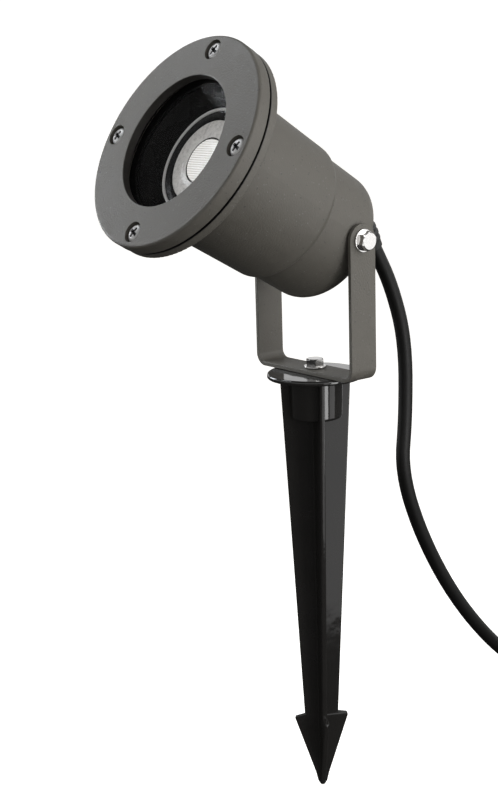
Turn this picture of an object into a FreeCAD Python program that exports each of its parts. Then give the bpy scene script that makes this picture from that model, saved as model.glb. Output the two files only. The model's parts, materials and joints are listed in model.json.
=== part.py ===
import FreeCAD, Part
import math
import os
import re

import Sketcher
from FreeCAD import Placement, Rotation, Vector

# A light projector on a ground stake: a round die-cast head with a bezel, a glass and a
# reflector lamp, hung in a flat U bracket that is bolted on a plastic ground spike.
# Origin: centre of the underside of the spike's flange, which rests on the ground. +Z is up
# along the spike, the tilt axis is parallel to X, and the beam leaves towards -Y. Millimetres.

SIZES = {
    # Head, in the beam's own frame: heights run along the beam, from the tilt axis
    "front": 92.2,
    "axis_rise": 1.4,
    "beam_angle": 30.7,
    "bezel_rad": 50.5,
    "bezel_thick": 6.5,
    "bezel_round": 1.3,
    "window_rad": 31.2,
    "window_lip": 3.8,
    "rebate_rad": 36.2,
    "screw_circle": 43.4,
    "counterbore_rad": 4.8,
    "counterbore_deep": 2.6,
    "glass_thick": 4.0,
    "glass_rad": 35.8,
    "gasket_thick": 0.8,
    "flange_rad": 50.3,
    "flange_thick": 4.2,
    "barrel_front_rad": 35.5,
    "barrel_back_rad": 33.8,
    "shoulder_deep": 68.6,
    "shoulder_len": 2.0,
    "tail_front_rad": 31.9,
    "tail_back_rad": 31.2,
    "head_len": 104.2,
    "tail_round": 10.0,
    "wall_thick": 3.4,
    "end_wall": 4.0,
    "sleeve_rad": 31.4,
    "sleeve_wall": 1.2,
    "sleeve_len": 46.0,
    # Lamp, with its two-pin foot
    "lamp_deep": 18.0,
    "lamp_rad": 25.0,
    "lamp_len": 46.0,
    "neck_rad": 12.0,
    "pin_gap": 10.0,
    "holder_rad": 12.5,
    "holder_len": 15.5,
    "bridge_len": 52.0,
    "bridge_wide": 12.0,
    "bridge_thick": 1.2,
    "post_circle": 21.5,
    "post_rad": 3.4,
    # Cable entry
    "gland_rise": 16.6,
    "gland_boss_rad": 10.0,
    "gland_thread_rad": 6.0,
    "gland_hex": 9.8,
    "gland_hex_thick": 4.0,
    "seal_thick": 1.0,
    "cord_rad": 3.65,
    "relief_bend": 40.0,
    # Bracket, of flat strip
    "pivot_height": 67.7,
    "strip_wide": 15.4,
    "strip_thick": 2.0,
    "arm_inside": 32.2,
    "bend_outside": 6.0,
    "bend_inside": 4.0,
    "slip_gap": 0.05,
    # Bolts
    "bolt_rad": 2.5,
    "bolt_hole_rad": 2.55,
    "bolt_head_rad": 4.62,
    "bolt_head_thick": 3.5,
    "washer_rad": 5.3,
    "washer_thick": 1.0,
    "pad_rad": 6.5,
    "pad_face": 31.0,
    # Ground spike
    "stake_flange_rad": 23.0,
    "stake_flange_thick": 2.5,
    "boss_rad": 13.2,
    "boss_len": 19.8,
    "rib_thick": 2.8,
    "rib_top": 17.0,
    "rib_foot": 8.4,
    "barb_rad": 13.4,
    "barb_deep": 172.4,
    "spike_len": 211.8,
    "rib_turn": 59.8,
    # Cord put away on the ground, and its plug
    "coil_mean": 39.0,
    "coil_half": 11.0,
    "coil_tall": 13.6,
    "tie_thick": 0.8,
    "tie_wide": 9.0,
    "plug_rad": 18.5,
    "plug_len": 46.0,
    "plug_tail_rad": 6.0,
    "plug_pin_rad": 2.4,
    "plug_pin_len": 19.0,
    "plug_pin_gap": 19.0,
}

doc = FreeCAD.newDocument("light_projector_stake")
sheet = doc.addObject("Spreadsheet::Sheet", "params")
for row, (alias, value) in enumerate(SIZES.items(), start=1):
    sheet.set("A%d" % row, alias)
    sheet.set("B%d" % row, str(value))
    sheet.setAlias("B%d" % row, alias)
doc.recompute()

X_AXIS = Vector(1, 0, 0)
Y_AXIS = Vector(0, 1, 0)
Z_AXIS = Vector(0, 0, 1)
SCREW_ANGLES = (-1.8, 88.2, 178.2, 268.2)
nodes = []


# ---------------------------------------------------------------- helpers

def bind(thing, prop, formula):
    """Bind a property to a formula of the sheet's names."""
    thing.setExpression(prop, re.sub(r"([a-z][a-z_]+)", r"params.\1", str(formula)))


def node(thing, label, pose=Placement()):
    """Name a finished sub-part and put it in its place."""
    thing.Label = label
    thing.Placement = pose * thing.Placement
    nodes.append(thing)
    return thing


def aimed(at, towards):
    return Placement(at, Rotation(Z_AXIS, towards))


def cylinder(radius, height, at=Vector(), towards=Z_AXIS):
    thing = doc.addObject("Part::Cylinder", "cylinder")
    bind(thing, "Radius", radius)
    bind(thing, "Height", height)
    thing.Placement = aimed(at, towards)
    return thing


def cone(radius_a, radius_b, height, at=Vector(), towards=Z_AXIS):
    thing = doc.addObject("Part::Cone", "cone")
    bind(thing, "Radius1", radius_a)
    bind(thing, "Radius2", radius_b)
    bind(thing, "Height", height)
    thing.Placement = aimed(at, towards)
    return thing


def hexagon(circumradius, height, at=Vector(), towards=Z_AXIS):
    thing = doc.addObject("Part::Prism", "hexagon")
    thing.Polygon = 6
    bind(thing, "Circumradius", circumradius)
    bind(thing, "Height", height)
    thing.Placement = aimed(at, towards)
    return thing


def block(length, width, height, centre, turn=0):
    """A box about a centre, turned about Z."""
    thing = doc.addObject("Part::Box", "block")
    bind(thing, "Length", length)
    bind(thing, "Width", width)
    bind(thing, "Height", height)
    doc.recompute()
    half = Vector(thing.Length.Value / 2, thing.Width.Value / 2, thing.Height.Value / 2)
    turned_by = Rotation(Z_AXIS, turn)
    thing.Placement = Placement(centre - turned_by.multVec(half), turned_by)
    return thing


def fused(*things):
    thing = doc.addObject("Part::MultiFuse", "fused")
    thing.Shapes = list(things)
    return thing


def cut(base, *tools):
    thing = doc.addObject("Part::Cut", "cut")
    thing.Base = base
    thing.Tool = tools[0] if len(tools) == 1 else fused(*tools)
    return thing


def common(a, b):
    thing = doc.addObject("Part::Common", "common")
    thing.Base = a
    thing.Tool = b
    return thing


def copies(source, poses):
    """Separate solids of one fastener, as one sub-part."""
    links = []
    for pose in poses:
        link = doc.addObject("App::Link", "copy")
        link.LinkedObject = source
        link.LinkTransform = False
        link.Placement = pose
        links.append(link)
    group = doc.addObject("Part::Compound", "group")
    group.Links = links
    return group


def origin_plane(body, role):
    return [feature for feature in body.Origin.OriginFeatures if feature.Role == role][0]


def outline_sketch(body, role, outline):
    """A closed outline of lines, each corner held at its place by formulas."""
    sketch = body.newObject("Sketcher::SketchObject", "outline")
    sketch.AttachmentSupport = [(origin_plane(body, role), "")]
    sketch.MapMode = "FlatFace"
    count = len(outline)
    corners = [Vector(60 * math.cos(2 * math.pi * i / count),
                      60 * math.sin(2 * math.pi * i / count), 0) for i in range(count)]
    for i in range(count):
        sketch.addGeometry(Part.LineSegment(corners[i], corners[(i + 1) % count]), False)
    for i in range(count):
        sketch.addConstraint(Sketcher.Constraint("Coincident", i, 2, (i + 1) % count, 1))
    for i, (across, up) in enumerate(outline):
        for kind, formula in (("DistanceX", across), ("DistanceY", up)):
            start = corners[i].x if kind == "DistanceX" else corners[i].y
            number = sketch.addConstraint(Sketcher.Constraint(kind, -1, 1, i, 1, start))
            bind(sketch, "Constraints[%d]" % number, formula)
    return sketch


def new_body(outline, role):
    body = doc.addObject("PartDesign::Body", "body")
    return body, outline_sketch(body, role, outline)


def turned(outline):
    """A body turned about Z; the outline is (radius, height) corners."""
    body, sketch = new_body(outline, "XZ_Plane")
    turn = body.newObject("PartDesign::Revolution", "turn")
    turn.Profile = sketch
    turn.ReferenceAxis = (sketch, ["V_Axis"])
    turn.Angle = 360
    body.Tip = turn
    return body


def padded(outline, thickness):
    """A body of constant thickness about the XZ plane; the outline is (x, z) corners."""
    body, sketch = new_body(outline, "XZ_Plane")
    pad = body.newObject("PartDesign::Pad", "pad")
    pad.Profile = sketch
    pad.Midplane = True
    bind(pad, "Length", thickness)
    body.Tip = pad
    return body


def round_edges(body, radius, chosen):
    """Round the edges that a test picks."""
    doc.recompute()
    base = body.Tip
    picked = ["Edge%d" % i for i, edge in enumerate(base.Shape.Edges, start=1) if chosen(edge)]
    fillet = body.newObject("PartDesign::Fillet", "round")
    fillet.Base = (base, picked)
    bind(fillet, "Radius", radius)
    body.Tip = fillet


def ring_edge(radius, height):
    """Test for the circular edge of this radius at this height."""
    def test(edge):
        curve = edge.Curve
        return (isinstance(curve, Part.Circle) and abs(curve.Radius - radius) < 0.02
                and abs(curve.Center.z - height) < 0.02)
    return test


def cross_edge(x, z):
    """Test for the straight edge along Y through this x and z."""
    def test(edge):
        ends = [vertex.Point for vertex in edge.Vertexes]
        return (len(ends) == 2 and all(abs(p.x - x) < 0.02 and abs(p.z - z) < 0.02 for p in ends))
    return test


def rounded_path(points):
    """Straight runs joined by tangent arcs, as large as both runs allow."""
    edges, radii = [], []
    start = points[0]
    for before, corner, after in zip(points, points[1:], points[2:]):
        run_in, run_out = corner - before, after - corner
        half_turn = run_in.getAngle(run_out) / 2
        reach = 0.45 * min(run_in.Length, run_out.Length)
        radii.append(reach / math.tan(half_turn))
        first = corner - Vector(run_in).normalize() * reach
        last = corner + Vector(run_out).normalize() * reach
        inward = (Vector(run_out).normalize() - Vector(run_in).normalize()).normalize()
        sag = radii[-1] / math.cos(half_turn) - radii[-1]
        edges.append(Part.LineSegment(start, first).toShape())
        edges.append(Part.Arc(first, corner + inward * sag, last).toShape())
        start = last
    edges.append(Part.LineSegment(start, points[-1]).toShape())
    return Part.Wire(edges), radii


def tube(points, radius):
    """A round cord along rounded_path."""
    path, radii = rounded_path(points)
    start = Part.Circle(points[0], points[1] - points[0], radius).toShape()
    solid = path.makePipeShell([Part.Wire([start])], True, False)
    expected = math.pi * radius ** 2 * path.Length
    print("tube length %.1f, smallest radius %.1f, volume ratio %.4f"
          % (path.Length, min(radii), solid.Volume / expected))
    thing = doc.addObject("Part::Feature", "tube")
    thing.Shape = solid
    return thing


# ---------------------------------------------------------------- the head

S = SIZES
HEAD_POSE = Placement(Vector(0, 0, S["pivot_height"]), Rotation(X_AXIS, 90 - S["beam_angle"]))
BEAM_POSE = HEAD_POSE * Placement(Vector(0, S["axis_rise"], 0), Rotation())
FRONT = S["front"]
GASKET_BACK = S["bezel_thick"] + S["gasket_thick"]
FLANGE_BACK = GASKET_BACK + S["flange_thick"]
GLASS_BACK = S["window_lip"] + S["glass_thick"]


def at_depth(depth, x=0.0, y=0.0):
    """A point in the beam's frame, by its depth behind the bezel's face."""
    return Vector(x, y, FRONT - depth)


def on_screw_circle(angle, depth):
    turn = math.radians(angle)
    return at_depth(depth, S["screw_circle"] * math.cos(turn), S["screw_circle"] * math.sin(turn))


def front_bezel():
    ring = turned([("window_rad", "front"), ("bezel_rad", "front"),
                   ("bezel_rad", "front - bezel_thick"), ("rebate_rad", "front - bezel_thick"),
                   ("rebate_rad", "front - window_lip"), ("window_rad", "front - window_lip")])
    round_edges(ring, "bezel_round", ring_edge(S["bezel_rad"], FRONT))
    round_edges(ring, "0.5", ring_edge(S["window_rad"], FRONT))
    round_edges(ring, "0.4", ring_edge(S["bezel_rad"], FRONT - S["bezel_thick"]))
    tools = []
    for angle in SCREW_ANGLES:
        tools.append(cylinder("counterbore_rad", "counterbore_deep + 1",
                              on_screw_circle(angle, S["counterbore_deep"])))
        tools.append(cylinder("2.2", "bezel_thick + 1", on_screw_circle(angle, S["bezel_thick"])))
    node(cut(ring, *tools), "front_bezel", BEAM_POSE)


def bezel_gasket():
    ring = cut(cylinder("flange_rad - 1.2", "gasket_thick", at_depth(GASKET_BACK)),
               cylinder("rebate_rad + 0.4", "3", at_depth(GASKET_BACK + 1)))
    holes = [cylinder("2.3", "3", on_screw_circle(angle, GASKET_BACK + 1)) for angle in SCREW_ANGLES]
    node(cut(ring, *holes), "bezel_gasket", BEAM_POSE)


def bezel_screws():
    """Pan-head screws with a cross recess, sunk in the bezel's counterbores."""
    head_tall, head_wide = 2.3, 4.1
    pan = turned([("0", "0"), (str(head_wide), "0"), (str(head_wide), "1.0"),
                  ("3.3", "1.9"), ("2.0", "2.2"), ("0", str(head_tall))])
    slots = fused(block("4.4", "1.0", "2.4", Vector(0, 0, 2.2), 45),
                  block("4.4", "1.0", "2.4", Vector(0, 0, 2.2), 135))
    screw = fused(cut(pan, slots), cylinder("2.0", "8.0", Vector(0, 0, -8)))
    poses = [Placement(on_screw_circle(angle, S["counterbore_deep"]), Rotation(Z_AXIS, angle + 20))
             for angle in SCREW_ANGLES]
    node(copies(screw, poses), "bezel_screws", BEAM_POSE)


def front_glass():
    node(cylinder("glass_rad", "glass_thick", at_depth(GLASS_BACK)), "front_glass", BEAM_POSE)


def glass_gasket():
    node(cut(cylinder("glass_rad", "1.0", at_depth(GLASS_BACK + 1.0)),
             cylinder("sleeve_rad", "3", at_depth(GLASS_BACK + 2))), "glass_gasket", BEAM_POSE)


def housing():
    shell = turned([
        ("rebate_rad", "front - bezel_thick - gasket_thick"),
        ("flange_rad", "front - bezel_thick - gasket_thick"),
        ("flange_rad", "front - bezel_thick - gasket_thick - flange_thick"),
        ("barrel_front_rad", "front - bezel_thick - gasket_thick - flange_thick"),
        ("barrel_back_rad", "front - shoulder_deep"),
        ("tail_front_rad", "front - shoulder_deep - shoulder_len"),
        ("tail_back_rad", "front - head_len"),
        ("0", "front - head_len"),
        ("0", "front - head_len + end_wall"),
        ("tail_back_rad - wall_thick", "front - head_len + end_wall"),
        ("tail_front_rad - wall_thick", "front - shoulder_deep - shoulder_len - 2"),
        ("barrel_back_rad - wall_thick", "front - shoulder_deep - 1"),
        ("barrel_front_rad - wall_thick", "front - 9.6"),
        ("rebate_rad", "front - 9.6"),
    ])
    tail_end = FRONT - S["head_len"]
    round_edges(shell, "tail_round", ring_edge(S["tail_back_rad"], tail_end))
    round_edges(shell, "6", ring_edge(S["tail_back_rad"] - S["wall_thick"], tail_end + S["end_wall"]))
    round_edges(shell, "3.6", ring_edge(S["barrel_back_rad"], FRONT - S["shoulder_deep"]))
    round_edges(shell, "1.5", ring_edge(S["barrel_front_rad"], FRONT - FLANGE_BACK))
    round_edges(shell, "0.6", ring_edge(S["flange_rad"], FRONT - FLANGE_BACK))
    boss_back = S["head_len"] + 0.2
    added = [cylinder("gland_boss_rad", "6.2", at_depth(boss_back, y=S["gland_rise"]))]
    posts_deep = S["lamp_deep"] + S["lamp_len"] + S["holder_len"] + 0.5 + S["bridge_thick"]
    removed = [cylinder("gland_thread_rad + 0.1", "20", at_depth(boss_back + 5, y=S["gland_rise"])),
               cylinder("9.8", "end_wall + 0.2",
                        at_depth(S["head_len"] - S["end_wall"], y=S["gland_rise"]))]
    for side in (1, -1):
        inner = Vector(side * 20.5, -S["axis_rise"], 0)
        outward = Vector(side, 0, 0)
        added.append(cylinder("6.2", "9.5", inner, outward))
        removed.append(cylinder("bolt_hole_rad", "20", inner - outward, outward))
        removed.append(cylinder("pad_rad + 0.6", "8",
                                Vector(side * S["pad_face"], -S["axis_rise"], 0), outward))
        post = at_depth(S["head_len"] - 1, *post_place(side))
        added.append(cylinder("post_rad", str(S["head_len"] - 1 - posts_deep), post))
        removed.append(cylinder("1.4", "12", at_depth(posts_deep + 10, *post_place(side))))
    removed += [cylinder("2.05", "5.5", on_screw_circle(angle, FLANGE_BACK + 1)) for angle in SCREW_ANGLES]
    node(cut(fused(shell, *added), *removed), "housing", BEAM_POSE)


def post_place(side):
    """The two posts of the lamp bridge stand on a diagonal, clear of the gland."""
    reach = side * S["post_circle"] / math.sqrt(2)
    return reach, -reach


def anti_glare_sleeve():
    """The black inner tube, with a lip in the housing's seat and a collar round the lamp."""
    tube_body = turned([
        ("sleeve_rad - sleeve_wall", "front - 8.8"), ("rebate_rad - 0.4", "front - 8.8"),
        ("rebate_rad - 0.4", "front - 9.6"), ("sleeve_rad", "front - 9.6"),
        ("sleeve_rad - 2", "front - 9.6 - sleeve_len"),
        ("lamp_rad - 6", "front - 9.6 - sleeve_len"),
        ("lamp_rad - 6", "front - 8.4 - sleeve_len"),
        ("sleeve_rad - 2 - sleeve_wall", "front - 8.4 - sleeve_len")])
    node(tube_body, "anti_glare_sleeve", BEAM_POSE)


def lamp():
    body = turned([
        ("lamp_rad - 1", "front - lamp_deep"), ("lamp_rad", "front - lamp_deep"),
        ("lamp_rad", "front - lamp_deep - 4.5"), ("lamp_rad - 1.6", "front - lamp_deep - 8"),
        ("16.5", "front - lamp_deep - 29"), ("neck_rad", "front - lamp_deep - 35"),
        ("neck_rad", "front - lamp_deep - lamp_len"), ("0", "front - lamp_deep - lamp_len"),
        ("0", "front - lamp_deep - 6.2"), ("lamp_rad - 1", "front - lamp_deep - 6.2")])
    node(body, "lamp_body", BEAM_POSE)
    lens = turned([("0", "front - lamp_deep - 0.4"), ("lamp_rad - 1.1", "front - lamp_deep - 0.8"),
                   ("lamp_rad - 1.1", "front - lamp_deep - 6.2"), ("0", "front - lamp_deep - 6.2")])
    node(lens, "lamp_lens", BEAM_POSE)
    foot = S["lamp_deep"] + S["lamp_len"]
    pin = fused(cylinder("1.6", "5.5", Vector(0, 0, -5.5)), cylinder("2.4", "2.5", Vector(0, 0, -8)))
    poses = [Placement(at_depth(foot, x=side * S["pin_gap"] / 2), Rotation()) for side in (1, -1)]
    node(copies(pin, poses), "lamp_pins", BEAM_POSE)


def lamp_holder():
    top = S["lamp_deep"] + S["lamp_len"] + 0.3
    bottom = top + S["holder_len"]
    holes = [cylinder("2.6", "9", at_depth(top + 8.5, x=side * S["pin_gap"] / 2)) for side in (1, -1)]
    body = cylinder("holder_rad", "holder_len", at_depth(bottom))
    node(cut(body, *holes), "lamp_holder", BEAM_POSE)
    strip = block("bridge_len", "bridge_wide", "bridge_thick",
                  at_depth(bottom + S["bridge_thick"] / 2), -45)
    holes = [cylinder("1.7", "4", at_depth(bottom + 3, *post_place(side))) for side in (1, -1)]
    node(cut(strip, *holes, cylinder("3.5", "4", at_depth(bottom + 3))), "lamp_bridge", BEAM_POSE)
    screw = fused(cylinder("2.7", "1.8"), cylinder("1.35", "9", Vector(0, 0, -9)))
    poses = [Placement(at_depth(bottom, *post_place(side)), Rotation()) for side in (1, -1)]
    node(copies(screw, poses), "bridge_screws", BEAM_POSE)


TERMINALS = (-7.0, 0.0, 7.0)
TERMINAL_DEEP = 91.0
TERMINAL_TOP = 3.0
TERMINAL_FOOT = -13.0


def terminal_block():
    middle = at_depth(TERMINAL_DEEP, y=(TERMINAL_TOP + TERMINAL_FOOT) / 2)
    body = block("22", "16", "10", middle)
    holes = [cylinder("1.3", "20", at_depth(TERMINAL_DEEP, x, TERMINAL_FOOT - 2), Y_AXIS)
             for x in TERMINALS]
    node(cut(body, *holes), "terminal_block", BEAM_POSE)


def wires():
    """Three cores from the cord's end to the terminals, and two on to the lamp holder."""
    cores = []
    for i, x in enumerate(TERMINALS):
        start = (i - 1) * 2.2
        rise = S["gland_rise"]
        cores.append(tube([at_depth(92.9, start, rise), at_depth(89, start * 1.1, rise),
                           at_depth(86.8, (start + x) / 2, rise - 4),
                           at_depth(88, x, rise - 9), at_depth(TERMINAL_DEEP, x, TERMINAL_TOP)], 1.0))
    group = doc.addObject("Part::Compound", "group")
    group.Links = cores
    node(group, "supply_wires", BEAM_POSE)
    pair = []
    for x in TERMINALS[:2]:
        pair.append(tube([at_depth(TERMINAL_DEEP, x, TERMINAL_FOOT), at_depth(89, x, -16.5),
                          at_depth(84, x, -18), at_depth(78, x, -17.5),
                          at_depth(75, x, -0.1 - math.sqrt(S["holder_rad"] ** 2 - x ** 2))], 0.9))
    group = doc.addObject("Part::Compound", "group")
    group.Links = pair
    node(group, "lamp_wires", BEAM_POSE)


GLAND_BACK = S["head_len"] + 0.2 + S["seal_thick"] + S["gland_hex_thick"]


def cable_gland():
    rise = S["gland_rise"]
    hexagon_top = GLAND_BACK - S["gland_hex_thick"]
    outside = fused(hexagon("gland_hex", "gland_hex_thick", at_depth(GLAND_BACK, y=rise)),
                    cylinder("gland_thread_rad", "9.8", at_depth(hexagon_top, y=rise)))
    node(cut(outside, cylinder("cord_rad + 0.1", "30", at_depth(GLAND_BACK + 5, y=rise))),
         "cable_gland", BEAM_POSE)
    node(cut(cylinder("9.0", "seal_thick", at_depth(hexagon_top, y=rise)),
             cylinder("gland_thread_rad + 0.05", "5", at_depth(hexagon_top + 2, y=rise))),
         "gland_seal", BEAM_POSE)
    wall_inside = S["head_len"] - S["end_wall"]
    node(cut(hexagon("9.2", "4", at_depth(wall_inside, y=rise)),
             cylinder("gland_thread_rad + 0.05", "8", at_depth(wall_inside + 2, y=rise))),
         "gland_locknut", BEAM_POSE)


RELIEF_TURN = 31.0


def relief_section(angle, radius):
    """A circle square to the bend, this far round it, in the beam's frame."""
    turn = math.radians(angle)
    bend = S["relief_bend"]
    circle = doc.addObject("Part::Circle", "section")
    bind(circle, "Radius", radius)
    circle.Placement = Placement(at_depth(GLAND_BACK + bend * math.sin(turn),
                                          y=S["gland_rise"] - bend * (1 - math.cos(turn))),
                                 Rotation(X_AXIS, 180 - angle))
    return circle


def relief_path(start_deep, tail_len):
    """The cord's centre line through the gland and round the strain relief."""
    bend, rise = S["relief_bend"], S["gland_rise"]

    def on_bend(angle):
        turn = math.radians(angle)
        return at_depth(GLAND_BACK + bend * math.sin(turn), y=rise - bend * (1 - math.cos(turn)))

    end = on_bend(RELIEF_TURN)
    heading = Vector(0, -math.sin(math.radians(RELIEF_TURN)), -math.cos(math.radians(RELIEF_TURN)))
    arc = Part.Arc(on_bend(0), on_bend(RELIEF_TURN / 2), end).toShape()
    edges = [arc]
    if start_deep is not None:
        edges.insert(0, Part.LineSegment(at_depth(start_deep, y=rise), on_bend(0)).toShape())
    if tail_len:
        edges.append(Part.LineSegment(end, end + heading * tail_len).toShape())
    return Part.Wire(edges)


def pipe(path, radius):
    first = path.OrderedEdges[0]
    start = first.valueAt(first.FirstParameter)
    ring = Part.Circle(start, first.tangentAt(first.FirstParameter), radius).toShape()
    thing = doc.addObject("Part::Feature", "pipe")
    thing.Shape = path.makePipeShell([Part.Wire([ring])], True, False)
    return thing


def strain_relief():
    sleeve = doc.addObject("Part::Loft", "sleeve")
    sleeve.Sections = [relief_section(angle, radius) for angle, radius in
                       ((0, "6.4"), (RELIEF_TURN / 3, "5.7"),
                        (RELIEF_TURN * 2 / 3, "5.0"), (RELIEF_TURN, "cord_rad + 0.75"))]
    sleeve.Solid = True
    node(cut(sleeve, pipe(relief_path(None, 0), S["cord_rad"])), "strain_relief", BEAM_POSE)


SWING_RAD = 47.0
SWING_GAP = 0.4


def cord_head_end():
    """The cord from inside the housing to where it starts to hang, round about the tilt axis."""
    whole = pipe(relief_path(93.0, 20), S["cord_rad"])
    swing = cylinder(str(SWING_RAD), "40", Vector(-20, -S["axis_rise"], 0), X_AXIS)
    node(common(whole, swing), "cord_head_end", BEAM_POSE)


def pivot_hardware():
    outside = S["arm_inside"] + S["strip_thick"] + S["slip_gap"]
    shank = "washer_thick + slip_gap + strip_thick + 8.2"
    under_head = outside + S["washer_thick"]
    shank_len = S["washer_thick"] + S["slip_gap"] + S["strip_thick"] + 8.2
    bolt = fused(hexagon("bolt_head_rad", "bolt_head_thick"),
                 cylinder("bolt_rad", shank, Vector(0, 0, -shank_len)))
    washer = cut(cylinder("washer_rad", "washer_thick"), cylinder("bolt_hole_rad", "washer_thick"))
    pad = cut(cylinder("pad_rad", "arm_inside - slip_gap - pad_face"),
              cylinder("bolt_hole_rad", "3"))

    def both(distance):
        return [aimed(Vector(side * distance, 0, 0), Vector(side, 0, 0)) for side in (1, -1)]

    node(copies(bolt, both(under_head)), "pivot_bolts", HEAD_POSE)
    node(copies(washer, both(outside)), "pivot_washers", HEAD_POSE)
    node(copies(pad, both(S["pad_face"])), "pivot_pads", HEAD_POSE)


# ---------------------------------------------------------------- the bracket

STRIP_FOOT = S["stake_flange_thick"] + S["slip_gap"]


def bracket():
    foot = "stake_flange_thick + slip_gap"
    top = "pivot_height + strip_wide / 2"
    outside = "arm_inside + strip_thick"
    strip = padded([("-(%s)" % outside, top), ("-(%s)" % outside, foot), (outside, foot),
                    (outside, top), ("arm_inside", top), ("arm_inside", foot + " + strip_thick"),
                    ("-arm_inside", foot + " + strip_thick"), ("-arm_inside", top)], "strip_wide")
    for side in (1, -1):
        round_edges(strip, "bend_outside",
                    cross_edge(side * (S["arm_inside"] + S["strip_thick"]), STRIP_FOOT))
        round_edges(strip, "bend_inside",
                    cross_edge(side * S["arm_inside"], STRIP_FOOT + S["strip_thick"]))
    span = 2 * (S["arm_inside"] + S["strip_thick"]) + 2
    pivot = Vector(-span / 2, 0, S["pivot_height"])
    round_top = fused(block(str(span), "strip_wide", "pivot_height",
                            Vector(0, 0, S["pivot_height"] / 2)),
                      cylinder("strip_wide / 2", str(span), pivot, X_AXIS))
    holes = [cylinder("bolt_hole_rad", str(span), pivot, X_AXIS), cylinder("bolt_hole_rad", "10")]
    node(cut(common(strip, round_top), *holes), "bracket")


# ---------------------------------------------------------------- the stake

def ground_spike():
    """Flange, boss and two crossed webs with barbs, pointed at the foot."""
    half = [("rib_top", "0"), ("rib_foot", "-barb_deep"),
            ("barb_rad - 0.3", "-barb_deep - 0.9"), ("barb_rad", "-barb_deep - 2.1"),
            ("3.2", "-spike_len + 6.6"), ("2.3", "-spike_len + 2.6"), ("1.1", "-spike_len + 0.5")]
    other = [("-(%s)" % across, up) for across, up in reversed(half)]
    webs = []
    for turn in (0, 90):
        web = padded(half + [("0", "-spike_len")] + other, "rib_thick")
        web.Placement = Placement(Vector(), Rotation(Z_AXIS, turn))
        webs.append(web)
    flange = turned([("0", "0"), ("stake_flange_rad", "0"),
                     ("stake_flange_rad", "stake_flange_thick"), ("0", "stake_flange_thick")])
    round_edges(flange, "0.9", ring_edge(S["stake_flange_rad"], S["stake_flange_thick"]))
    round_edges(flange, "0.9", ring_edge(S["stake_flange_rad"], 0))
    boss = cone("boss_rad - 0.5", "boss_rad", "boss_len", Vector(0, 0, -S["boss_len"]))
    bore = cylinder("bolt_rad + 0.1", "stake_flange_thick + 13", Vector(0, 0, -13))
    pocket = hexagon("bolt_head_rad + 0.06", "4.1", Vector(0, 0, -9.05))
    node(cut(fused(flange, boss, *webs), bore, pocket), "ground_spike",
         Placement(Vector(), Rotation(Z_AXIS, S["rib_turn"])))


def base_hardware():
    top = STRIP_FOOT + S["strip_thick"] + S["slip_gap"]
    under_head = top + S["washer_thick"]
    node(cut(cylinder("washer_rad", "washer_thick", Vector(0, 0, top)),
             cylinder("bolt_hole_rad", "washer_thick", Vector(0, 0, top))), "base_washer")
    node(fused(hexagon("bolt_head_rad", "bolt_head_thick", Vector(0, 0, under_head)),
               cylinder("bolt_rad", str(under_head + 12), Vector(0, 0, -12))), "base_bolt",
         Placement(Vector(), Rotation(Z_AXIS, 21)))
    node(cut(hexagon("bolt_head_rad", "4", Vector(0, 0, -9)),
             cylinder("bolt_rad + 0.02", "4", Vector(0, 0, -9))), "base_nut",
         Placement(Vector(), Rotation(Z_AXIS, S["rib_turn"])))


# ---------------------------------------------------------------- the free cord

FLOOR = -S["spike_len"]
COIL_OUTER_TURN = S["coil_mean"] + 2 * S["cord_rad"]
COIL_X = COIL_OUTER_TURN
COIL_Y = 207.0
TIE_ANGLE = 135
RELIEF_END = BEAM_POSE.multVec(at_depth(
    GLAND_BACK + S["relief_bend"] * math.sin(math.radians(RELIEF_TURN)),
    y=S["gland_rise"] - S["relief_bend"] * (1 - math.cos(math.radians(RELIEF_TURN)))))

# From the strain relief down behind the head, out over the ground and into the coil
CORD_ROUTE = [
    (0.0, 51.0, 38.4), (0.0, 60.6, 9.0), (0.0, 60.4, -31.0), (0.0, 57.0, -58.0),
    (0.0, 71.0, -95.0), (0.0, 96.2, -136.0), (0.0, 129.5, -173.2), (0.0, 163.0, -198.5),
    (0.0, 186.0, -208.15), (0.0, 207.0, -208.15),
]
# From the top of the coil round and up into the plug
PLUG_ROUTE = [
    (34.8, 249.65, -201.0), (53.1, 249.65, -200.2), (68.6, 240.7, -195.0), (77.5, 225.3, -188.0),
    (77.5, 207.5, -182.4),
]


def cord_drop():
    points = [RELIEF_END] + [Vector(*point) for point in CORD_ROUTE]
    swing = cylinder(str(SWING_RAD + SWING_GAP), "40", Vector(-20, 0, S["pivot_height"]), X_AXIS)
    node(cut(tube(points, S["cord_rad"]), swing), "cord_drop")


def cord_coil():
    coil = turned([("coil_mean - coil_half", "0"), ("coil_mean + coil_half", "0"),
                   ("coil_mean + coil_half", "coil_tall"), ("coil_mean - coil_half", "coil_tall")])
    centre = Vector(COIL_X, COIL_Y, FLOOR + S["tie_thick"])
    node(coil, "cord_coil", Placement(centre, Rotation()))
    turn = math.radians(TIE_ANGLE)
    middle = centre + Vector(S["coil_mean"] * math.cos(turn), S["coil_mean"] * math.sin(turn),
                             S["coil_tall"] / 2)
    inside = block("2 * coil_half", "tie_wide + 2", "coil_tall", middle, TIE_ANGLE)
    outside = block("2 * coil_half + 2 * tie_thick", "tie_wide", "coil_tall + 2 * tie_thick",
                    middle, TIE_ANGLE)
    node(cut(outside, inside), "cord_tie")


PLUG_PITCH = 6.0


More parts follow.
